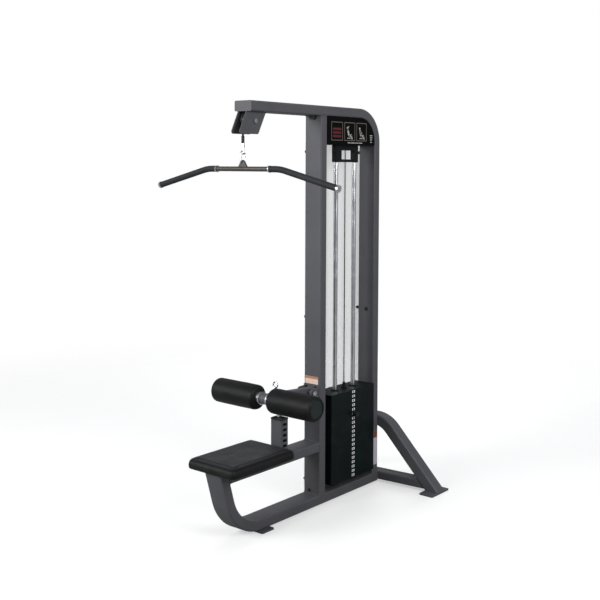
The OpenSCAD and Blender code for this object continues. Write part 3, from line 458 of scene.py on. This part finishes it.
def skin_rings(build, rings, closed=False):
    """Joins rings of the same number of points, and caps both ends unless the row closes."""
    rows = [[build.verts.new(point) for point in ring] for ring in rings]
    pairs = list(zip(rows, rows[1:]))
    if closed:
        pairs.append((rows[-1], rows[0]))
    for a, b in pairs:
        for i in range(len(a)):
            j = (i + 1) % len(a)
            build.faces.new((a[i], a[j], b[j], b[i]))
    if not closed:
        build.faces.new(rows[0])
        build.faces.new(rows[-1])


def round_rectangle(width, height, radius, per_corner=8):
    """Points of a rectangle with round corners, centred, counter-clockwise."""
    points = []
    for corner, (sx, sy) in enumerate(((1, 1), (-1, 1), (-1, -1), (1, -1))):
        for step in range(per_corner + 1):
            angle = math.pi / 2 * (corner + step / per_corner)
            points.append(Vector((sx * (width / 2 - radius) + radius * math.cos(angle),
                                  sy * (height / 2 - radius) + radius * math.sin(angle), 0)))
    return points


def sweep(build, path, radius_at, sides=8, closed=False):
    """A round tube along a path; radius_at gives the radius at a point's number."""
    rings = []
    count = len(path)
    side = None
    for i, point in enumerate(path):
        before = path[(i - 1) % count] if closed or i else point
        after = path[(i + 1) % count] if closed or i < count - 1 else point
        along = (after - before).normalized()
        if side is None:
            side = along.orthogonal().normalized()
        side = (side - along * side.dot(along)).normalized()
        up = along.cross(side)
        radius = radius_at(i)
        rings.append([point + radius * (math.cos(a) * side + math.sin(a) * up)
                      for a in (2 * math.pi * k / sides for k in range(sides))])
    skin_rings(build, rings, closed)


def resample(points, step, closed=False):
    """The same path with points evenly spaced."""
    ends = points + points[:1] if closed else points
    lengths = [(b - a).length for a, b in zip(ends, ends[1:])]
    count = max(2, round(sum(lengths) / step))
    spaced, segment, used = [], 0, 0.0
    for i in range(count if closed else count + 1):
        goal = sum(lengths) * i / count
        while segment < len(lengths) - 1 and used + lengths[segment] < goal:
            used += lengths[segment]
            segment += 1
        share = (goal - used) / max(lengths[segment], 1e-9)
        spaced.append(ends[segment].lerp(ends[segment + 1], min(share, 1)))
    return spaced


def revolve(build, profile, matrix, segments=96):
    """Turns a closed profile of (radius, height) pairs about the matrix's Z axis."""
    rings = []
    for k in range(segments):
        angle = 2 * math.pi * k / segments
        rings.append([matrix @ Vector((r * math.cos(angle), r * math.sin(angle), h))
                      for r, h in profile])
    skin_rings(build, rings, closed=True)


def slab(build, outline, matrix, thickness, edge):
    """A flat plate of an outline in its own x, y, with a small rounded edge on its upper side."""
    centre = sum(outline, Vector()) / len(outline)
    reach = max((p - centre).length for p in outline)
    rings = []
    for inset, height in ((0, 0), (0, thickness - edge), (edge * 0.3, thickness - edge * 0.3),
                          (edge, thickness)):
        shrink = 1 - inset / reach
        rings.append([matrix @ (centre + (p - centre) * shrink + Vector((0, 0, height)))
                      for p in outline])
    skin_rings(build, rings)


def facing(origin, across, up):
    """A matrix whose x is across, y is up and z stands off the surface."""
    x, y = Vector(across).normalized(), Vector(up).normalized()
    z = x.cross(y)
    matrix = Matrix((x, y, z)).transposed().to_4x4()
    matrix.translation = origin
    return matrix


# ---------- padded parts ----------

VOXEL = 0.0045
SEAT_CORNER = 0.038
CLOTH_FRAMES = 20
# How far the simulated skin may draw in below its starting shape
SHRINK = 0.0006


def remeshed(piece, voxel):
    modifier = piece.modifiers.new("even", "REMESH")
    modifier.mode = "VOXEL"
    modifier.voxel_size = voxel
    modifier.use_smooth_shade = True
    bake_modifiers(piece)


def bake_modifiers(piece):
    """Keeps the mesh that the modifiers make, and removes them."""
    graph = bpy.context.evaluated_depsgraph_get()
    graph.update()
    baked = bpy.data.meshes.new_from_object(piece.evaluated_get(graph))
    baked.name = piece.name
    piece.modifiers.clear()
    piece.data = baked


def swell(piece, cap, held, pressure=4.0):
    """Blows the foam up under its skin by cloth simulation; held says which points stay."""
    group = piece.vertex_groups.new(name="held")
    group.add([v.index for v in piece.data.vertices if held(v.co)], 1.0, "REPLACE")
    cloth = piece.modifiers.new("skin", "CLOTH")
    cloth.settings.quality = 5
    cloth.settings.mass = 0.3
    cloth.settings.tension_stiffness = 18
    cloth.settings.compression_stiffness = 18
    cloth.settings.bending_stiffness = 0.8
    cloth.settings.use_pressure = True
    cloth.settings.uniform_pressure_force = pressure
    cloth.settings.effector_weights.gravity = 0
    cloth.settings.vertex_group_mass = group.name
    cloth.point_cache.frame_start = 1
    cloth.point_cache.frame_end = CLOTH_FRAMES
    for number in range(1, CLOTH_FRAMES + 1):
        scene.frame_set(number)
    graph = bpy.context.evaluated_depsgraph_get()
    swollen = [v.co.copy() for v in piece.evaluated_get(graph).data.vertices]
    piece.modifiers.clear()
    scene.frame_set(1)
    normals = [v.normal.copy() for v in piece.data.vertices]
    for vertex, goal, normal in zip(piece.data.vertices, swollen, normals):
        move = goal - vertex.co
        move -= normal * min(0, move.dot(normal) + SHRINK)
        if move.length > cap:
            move *= cap / move.length
        vertex.co += move
    piece.vertex_groups.clear()


def relax(piece, factor, repeat):
    """Evens out the skin."""
    modifier = piece.modifiers.new("relax", "SMOOTH")
    modifier.factor = factor
    modifier.iterations = repeat
    bake_modifiers(piece)


def subdivide(piece):
    modifier = piece.modifiers.new("finer", "SUBSURF")
    modifier.levels = modifier.render_levels = 1
    bake_modifiers(piece)
    for face in piece.data.polygons:
        face.use_smooth = True


def make_seat_cushion():
    """Vinyl-covered foam with soft shoulders, wrapped under the edge of its board."""
    low, high, middle = box_of("seat_pad")
    board_low, board_high, _ = box_of("seat_board")
    width, length = high.x - low.x, high.y - low.y
    height = high.z - low.z
    lip = board_low.x - low.x
    recess = board_high.z - low.z + 0.0006
    swell_room = 0.004
    # (inset from the outline, height): the recess for the board, the wrapped edge, the side, the top
    profile = [(lip + 0.05, recess), (lip + 0.001, recess), (lip, recess - 0.001), (lip, 0.001),
               (lip - 0.001, 0.0), (0.006, 0.0), (0.003, 0.002), (0.0015, 0.006), (0.001, 0.014),
               (0.001, 0.024), (0.003, 0.034), (0.008, 0.042), (0.016, 0.048), (0.028, 0.0515),
               (0.05, height - swell_room), (0.09, height - swell_room)]
    build = bmesh.new()
    rings = []
    for inset, z in profile:
        outline = round_rectangle(width - 2 * inset, length - 2 * inset,
                                  max(SEAT_CORNER - inset, 0.012), 12)
        rings.append([Vector((middle.x, middle.y, low.z + z)) + p for p in outline])
    skin_rings(build, rings)
    cushion = add_piece("seat_cushion", build, None, "black_vinyl", SEAT_VINYL)
    remeshed(cushion, VOXEL)
    swell(cushion, 0.005, lambda p: p.z < low.z + recess + 0.002)
    relax(cushion, 0.5, 3)
    shape_seat(cushion, low, high, middle)
    subdivide(cushion)
    limit = high.z + 0.004
    for vertex in cushion.data.vertices:
        vertex.co.z = min(vertex.co.z, limit)
    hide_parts("seat_pad")
    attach(cushion, "frame")


def shape_seat(cushion, low, high, middle):
    """Dishes the top a little where people sit and gathers the skin under the corners."""
    half_w, half_l = (high.x - low.x) / 2, (high.y - low.y) / 2
    for vertex in cushion.data.vertices:
        x, y = vertex.co.x - middle.x, vertex.co.y - middle.y
        up = (vertex.co.z - low.z) / (high.z - low.z)
        if up > 0.7:
            dish = max(0, 1 - (x / (0.8 * half_w)) ** 2) * max(0, 1 - (y / (0.8 * half_l)) ** 2)
            ripple = noise.noise(Vector((x * 14, y * 14, 3.1)))
            vertex.co.z -= 0.0028 * dish - 0.0007 * ripple
        from_corner = Vector((abs(x) - half_w + SEAT_CORNER, abs(y) - half_l + SEAT_CORNER, 0))
        if from_corner.x > 0 and from_corner.y > 0 and 0.02 < up < 0.75:
            angle = math.atan2(from_corner.y, from_corner.x)
            fade = math.sin(math.pi * (0.75 - up) / 0.73) * math.sin(2 * angle)
            pleat = 0.0009 * fade * math.cos(22 * angle)
            outward = from_corner.normalized()
            vertex.co.x += math.copysign(outward.x * pleat, x)
            vertex.co.y += math.copysign(outward.y * pleat, y)


make_seat_cushion()


def make_roller(node, name, body, side):
    """A vinyl-wrapped foam roller, open at its core and recessed round its end cap."""
    low, high, middle = box_of(node)
    cap_low, cap_high, _ = box_of("roller_cores_" + name)
    radius = (high.z - low.z) / 2
    length = high.x - low.x
    bore = 0.0178
    cap_radius = (cap_high.z - cap_low.z) / 2 + 0.0008
    cap_depth = 0.0135
    tuck = 0.0035
    # from the outer end's recess, over the shoulder, along the skin and back to the core
    profile = [(bore, length - cap_depth), (cap_radius - 0.002, length - cap_depth),
               (cap_radius, length - cap_depth + 0.002), (cap_radius, length - 0.003),
               (cap_radius + 0.002, length - 0.0005)]
    for step in range(7):
        angle = math.pi / 2 * (1 - step / 6)
        profile.append((radius - 0.019 - 0.0015 + 0.019 * math.cos(angle),
                        length - 0.019 + 0.019 * math.sin(angle)))
    for share in (0.75, 0.5, 0.25):
        profile.append((radius - 0.001, length * share))
    for step in range(7):
        angle = math.pi / 2 * step / 6
        profile.append((radius - 0.02 - 0.0015 + 0.02 * math.cos(angle),
                        0.02 - 0.02 * math.sin(angle)))
    profile += [(bore + 0.012, 0.0), (bore + 0.004, tuck), (bore, tuck + 0.002)]
    base = Vector((low.x if side > 0 else high.x, middle.y, middle.z))
    matrix = Matrix.Translation(base) @ Matrix.Rotation(math.radians(90 * side), 4, "Y")
    build = bmesh.new()
    revolve(build, profile, matrix)
    roller = add_piece("roller_cover_" + name, build, None, "black_vinyl")
    remeshed(roller, VOXEL)

    def held(point):
        across = math.hypot(point.y - middle.y, point.z - middle.z)
        along = abs(point.x - base.x)
        return across < cap_radius + 0.001 and (along > length - 0.016 or across < bore + 0.006)

    swell(roller, 0.002, held)
    relax(roller, 0.5, 2)
    wrinkle_roller(roller, base, middle, length, radius)
    subdivide(roller)
    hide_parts(node)
    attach(roller, body)


def wrinkle_roller(roller, base, middle, length, radius):
    """Fine gathers where the skin turns over both shoulders, and one sewn seam along it."""
    for vertex in roller.data.vertices:
        along = abs(vertex.co.x - base.x)
        out = Vector((0, vertex.co.y - middle.y, vertex.co.z - middle.z))
        across = out.length
        if across < 0.052:
            continue
        direction = out.normalized()
        angle = math.atan2(out.z, out.y)
        near_end = max(0, 1 - min(along, length - along) / 0.03)
        gather = 0.0005 * near_end * math.cos(30 * angle + 2 * noise.noise(out * 60))
        soft = 0.0005 * noise.noise(vertex.co * 16)
        from_seam = (angle + 2.2) * radius
        seam = -0.0012 * math.exp(-(from_seam / 0.0035) ** 2) if across > radius - 0.008 else 0
        vertex.co += direction * min(gather + soft + seam, radius + 0.0012 - across)


make_roller("roller_foam_left", "left", "roller_left", -1)
make_roller("roller_foam_right", "right", "roller_right", 1)


# ---------- cable ----------

def make_cable_drop(node, name):
    """A hanging stretch of cable, straight down from the pulley above to what it holds below."""
    low, high, middle = box_of(node)
    radius = (high.x - low.x) / 2
    top, bottom = Vector((middle.x, middle.y, high.z)), Vector((middle.x, middle.y, low.z))
    build = bmesh.new()
    path = resample([top, bottom], 0.006)
    sweep(build, path, lambda i: radius * (1 + 0.015 * math.cos(math.pi * i)), sides=20)
    cable = add_piece(name, build, None, "cable_jacket")
    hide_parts(node)
    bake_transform(cable)


make_cable_drop("cable_bar_drop", "cable_to_bar")
make_cable_drop("cable_stack_drop", "cable_to_stack")


# ---------- welds ----------

BEAD = 0.0028
RIPPLE_STEP = 0.0013
# Corner radius and depth of the main tube, the upright's lean, the leg tube's depth and the post's corner
TUBE_R = 0.009
TUBE_DEPTH = 0.054
UPRIGHT_LEAN = math.radians(16.7)
LEG_DEPTH = 0.064
LEG_SEAM_HALF = 0.046
POST_R = 0.007


def add_weld(build, points, closed=True, radius=BEAD):
    """A rippled bead along a path."""
    path = resample(points, RIPPLE_STEP, closed)
    sweep(build, path, lambda i: radius * (0.86 + 0.14 * abs(math.cos(i * math.pi / 4))), 8, closed)


def section_path(width, height, radius, matrix):
    return [matrix @ p for p in round_rectangle(width, height, radius, 6)]


def make_frame_welds():
    """Beads round the seats of the columns, the beam, the post and the legs."""
    column_low, column_high, column = box_of("front_column")
    beam_low, beam_high, beam = box_of("seat_beam")
    post_low, post_high, post = box_of("rack_post")
    arm_high = box_of("top_frame_tube")[1]
    leg_low, leg_high, _ = box_of("rear_leg_right")
    tube_w, tube_d = column_high.x - column_low.x, column_high.y - column_low.y
    across, along, up = (1, 0, 0), (0, 1, 0), (0, 0, 1)
    build = bmesh.new()
    rear_y = arm_high.y - tube_d / 2
    for y, z in ((column.y, column_low.z), (rear_y, column_low.z), (column.y, column_high.z)):
        place = facing(Vector((0, y, z)), across, along)
        add_weld(build, section_path(tube_w, tube_d, TUBE_R, place))
    at_column = facing(Vector((0, column_low.y, beam.z)), across, up)
    add_weld(build, section_path(tube_w, beam_high.z - beam_low.z, TUBE_R, at_column))
    leaning = Vector((0, -math.sin(UPRIGHT_LEAN), math.cos(UPRIGHT_LEAN)))
    height = (beam_high.z - beam_low.z) / math.cos(UPRIGHT_LEAN)
    foot = beam_low.y + (beam_high.z - beam_low.z) * math.tan(UPRIGHT_LEAN) / 2
    at_upright = facing(Vector((0, foot, beam.z)), across, leaning)
    add_weld(build, section_path(tube_w, height, TUBE_R, at_upright))
    at_post = facing(Vector((0, post.y, post_low.z)), across, along)
    add_weld(build, section_path(post_high.x - post_low.x, post_high.y - post_low.y, POST_R, at_post),
             radius=0.0022)
    for z in (leg_high.z, leg_high.z - LEG_DEPTH):
        ends = [Vector((-LEG_SEAM_HALF, leg_low.y, z)), Vector((LEG_SEAM_HALF, leg_low.y, z))]
        add_weld(build, ends, False)
    add_piece("frame_welds", build, "frame", "frame_paint")


def make_bracket_welds():
    """Beads along the top edges of the pulley brackets' side plates."""
    build = bmesh.new()
    for node, inset in (("front_pulley_bracket", 0.049), ("rear_pulley_bracket", 0.003)):
        low, high, _ = box_of(node)
        arm_z = high.z
        for x in (low.x, high.x):
            back = Vector((x, high.y - 0.003, arm_z - 0.001))
            front = Vector((x, low.y + inset, arm_z - 0.001))
            add_weld(build, [front, back], False, 0.0024)
    add_piece("bracket_welds", build, "frame", "frame_paint")


make_frame_welds()
make_bracket_welds()


# ---------- plugs and rims ----------

def make_plug(name, place, width, height, radius, thickness=0.0035):
    """A pressed-in plastic closure for a tube's end, with a raised middle."""
    build = bmesh.new()
    slab(build, round_rectangle(width, height, radius, 8), place, thickness, 0.001)
    raised = place @ Matrix.Translation((0, 0, thickness - 0.0004))
    slab(build, round_rectangle(width - 0.016, height - 0.016, radius * 0.6, 8), raised, 0.0012,
         0.0006)
    add_piece(name, build, "frame", "black_plastic")


def make_post_rim():
    """A plastic edge strip on the open top of the rack post."""
    low, high, middle = box_of("rack_post")
    width, depth = high.x - low.x, high.y - low.y
    build = bmesh.new()
    rings = []
    for inset, z in ((-0.0012, -0.006), (-0.0012, 0.0012), (0.0, 0.0024), (0.004, 0.0024),
                     (0.0052, 0.0012), (0.0052, -0.006)):
        rings.append([Vector((middle.x, middle.y, high.z + z)) + p for p in
                      round_rectangle(width - 2 * inset, depth - 2 * inset, POST_R - inset, 8)])
    skin_rings(build, rings, closed=True)
    add_piece("post_rim", build, "frame", "black_plastic")


def make_upright_plug():
    """Closes the top of the leaning upright under the front of the seat."""
    low, high, _ = box_of("base_tube")
    depth = TUBE_DEPTH / math.cos(UPRIGHT_LEAN)
    place = facing(Vector((0, low.y + depth / 2, high.z)), (1, 0, 0), (0, 1, 0))
    make_plug("upright_plug", place, high.x - low.x, depth, TUBE_R, 0.003)


make_post_rim()
make_upright_plug()


# ---------- number tags, placard and labels ----------

PRINT_T = 0.00035
TAG_H = 0.013
TAG_COUNT = 20
TAGS_LIFTED = 6
FIGURE_SIZE = 0.0062
FIGURE_SHIFT = 0.0088


def add_text(build, words, matrix, size):
    """Flat figures, centred on the matrix's origin, as thin raised print."""
    curve = bpy.data.curves.new("figures", "FONT")
    curve.body = words
    curve.size = size
    curve.align_x, curve.align_y = "CENTER", "CENTER"
    curve.extrude = PRINT_T / 4
    holder = bpy.data.objects.new("figures", curve)
    scene.collection.objects.link(holder)
    graph = bpy.context.evaluated_depsgraph_get()
    mesh = bpy.data.meshes.new_from_object(holder.evaluated_get(graph))
    mesh.transform(matrix)
    build.from_mesh(mesh)
    bpy.data.objects.remove(holder)
    bpy.data.curves.remove(curve)
    bpy.data.meshes.remove(mesh)


def make_tag_figures():
    """Plate numbers beside the pin holes, counted from the top in fives."""
    low, high, middle = box_of("number_tags_resting")
    lifted_high = box_of("number_tags_lifted")[1]
    pitch = (lifted_high.z - low.z - TAG_H) / (TAG_COUNT - 1)
    for name, body, first, past in (("tag_figures_lifted", "lift_stack", 0, TAGS_LIFTED),
                                    ("tag_figures_resting", "frame", TAGS_LIFTED, TAG_COUNT)):
        build = bmesh.new()
        for i in range(first, past):
            spot = Vector((high.x + PRINT_T / 4, middle.y - FIGURE_SHIFT,
                           lifted_high.z - TAG_H / 2 - i * pitch))
            add_text(build, str(5 * (i + 1)), facing(spot, (0, 1, 0), (0, 0, 1)), FIGURE_SIZE)
        add_piece(name, build, body, "black_plastic", INKS["dark"], smooth=False)


# Each panel's middle from the placard's front edge, and its width
PANELS = ((0.088, 0.104), (0.205, 0.100), (0.318, 0.098))
PANEL_H = 0.104
PANEL_DROP = 0.080
PANEL_LINE = 0.0042


def disc(radius, count=28):
    return [Vector((radius * math.cos(2 * math.pi * k / count),
                    radius * math.sin(2 * math.pi * k / count), 0)) for k in range(count)]


def bar_outline(a, b, half):
    """The outline of a thick line with round ends, from a to b."""
    along = (b - a).normalized()
    start = math.atan2(along.y, along.x)
    points = []
    for centre, turn in ((b, -math.pi / 2), (a, math.pi / 2)):
        for step in range(9):
            angle = start + turn + math.pi * step / 8
            points.append(centre + half * Vector((math.cos(angle), math.sin(angle), 0)))
    return points


def add_frame_line(build, width, height, place, line):
    """A thin rectangular border, printed proud of the panel."""
    rings = []
    for inset, z in ((0, 0), (0, PRINT_T), (line, PRINT_T), (line, 0)):
        rings.append([place @ (p + Vector((0, 0, z))) for p in
                      round_rectangle(width - 2 * inset, height - 2 * inset, 0.003, 4)])
    skin_rings(build, rings, closed=True)


def add_sitter(build, place, pulled):
    """A seated figure with its legs forward, arms up or pulled in, of plain rounded strokes."""
    hand = Vector((0.004, 0.002, 0)) if pulled else Vector((-0.006, 0.034, 0))
    elbow = Vector((-0.004, -0.006, 0)) if pulled else Vector((-0.014, 0.020, 0))
    shoulder, hip = Vector((-0.012, 0.012, 0)), Vector((-0.002, -0.020, 0))
    knee, ankle = Vector((0.020, -0.014, 0)), Vector((0.026, -0.034, 0))
    for a, b, half in ((shoulder, hip, 0.0068), (hip, knee, 0.0062), (knee, ankle, 0.0044),
                       (shoulder, elbow, 0.0034), (elbow, hand, 0.0030)):
        slab(build, bar_outline(a, b, half), place, PRINT_T, PRINT_T / 2)
    head = place @ Matrix.Translation((-0.016, 0.026, 0))
    slab(build, disc(0.0066), head, PRINT_T, PRINT_T / 2)
    seat = place @ Matrix.Translation((-0.002, -0.031, 0))
    slab(build, bar_outline(Vector((-0.014, 0, 0)), Vector((0.014, 0, 0)), 0.0022), seat,
         PRINT_T * 1.2, PRINT_T / 2)


def make_placard_print():
    """Three framed panels: plain red bars and two exercise pictograms, with plain bars below."""
    low, high, _ = box_of("placard")
    top = high.z

    def spot(from_front, below_top):
        return facing(Vector((high.x, low.y + from_front, top - below_top)), (0, 1, 0), (0, 0, 1))

    def add_bar(build, centre, below_top, half_length, half_height):
        outline = bar_outline(Vector((-half_length, 0, 0)), Vector((half_length, 0, 0)), half_height)
        slab(build, outline, spot(centre, below_top), PRINT_T, PRINT_T / 2)

    lines, pale, red = bmesh.new(), bmesh.new(), bmesh.new()
    for centre, width in PANELS:
        add_frame_line(lines, width, PANEL_H, spot(centre, PANEL_DROP), PANEL_LINE)
    for below in (0.068, 0.088, 0.108):
        add_bar(red, PANELS[0][0], below, 0.032, 0.0068)
    add_sitter(pale, spot(0.200, 0.086), pulled=False)
    add_sitter(pale, spot(0.316, 0.086), pulled=True)
    start = 0.188
    for length in (0.022, 0.034, 0.026, 0.030):
        add_bar(pale, start + length / 2, 0.143, length / 2, 0.0024)
        start += length + 0.008
    for k, below in enumerate((0.098, 0.110, 0.122, 0.136)):
        add_bar(pale, 0.412, below, 0.010 - 0.0015 * k, 0.0028)
    add_piece("placard_lines", lines, "frame", "placard_black", INKS["line"], smooth=False)
    add_piece("placard_pictograms", pale, "frame", "placard_black", INKS["pale"], smooth=False)
    add_piece("placard_red_bars", red, "frame", "placard_black", INKS["red"], smooth=False)


def make_label(name, place, width, height, header, inks):
    """A blank two-colour sticker, the header strip on top."""
    body, strip = bmesh.new(), bmesh.new()
    slab(body, round_rectangle(width, height, 0.003, 5), place, PRINT_T, PRINT_T / 2)
    over = place @ Matrix.Translation((0, (height - header) / 2, PRINT_T * 0.8))
    slab(strip, round_rectangle(width - 0.001, header - 0.001, 0.0025, 5), over, PRINT_T * 0.6,
         PRINT_T / 4)
    add_piece(name + "_body", body, "frame", "tag_white", INKS[inks[0]], smooth=False)
    add_piece(name + "_header", strip, "frame", "tag_white", INKS[inks[1]], smooth=False)


def make_labels():
    column_low = box_of("front_column")[0]
    rear_high = box_of("top_frame_tube")[1]
    front = facing(Vector((-0.003, column_low.y, 0.699)), (1, 0, 0), (0, 0, 1))
    make_label("front_label", front, 0.090, 0.042, 0.014, ("cream", "orange"))
    side = facing(Vector((rear_high.x, rear_high.y - TUBE_DEPTH / 2, 0.2125)), (0, 1, 0), (0, 0, 1))
    make_label("side_label", side, 0.036, 0.199, 0.039, ("lavender", "brown"))


make_tag_figures()
make_placard_print()
make_labels()
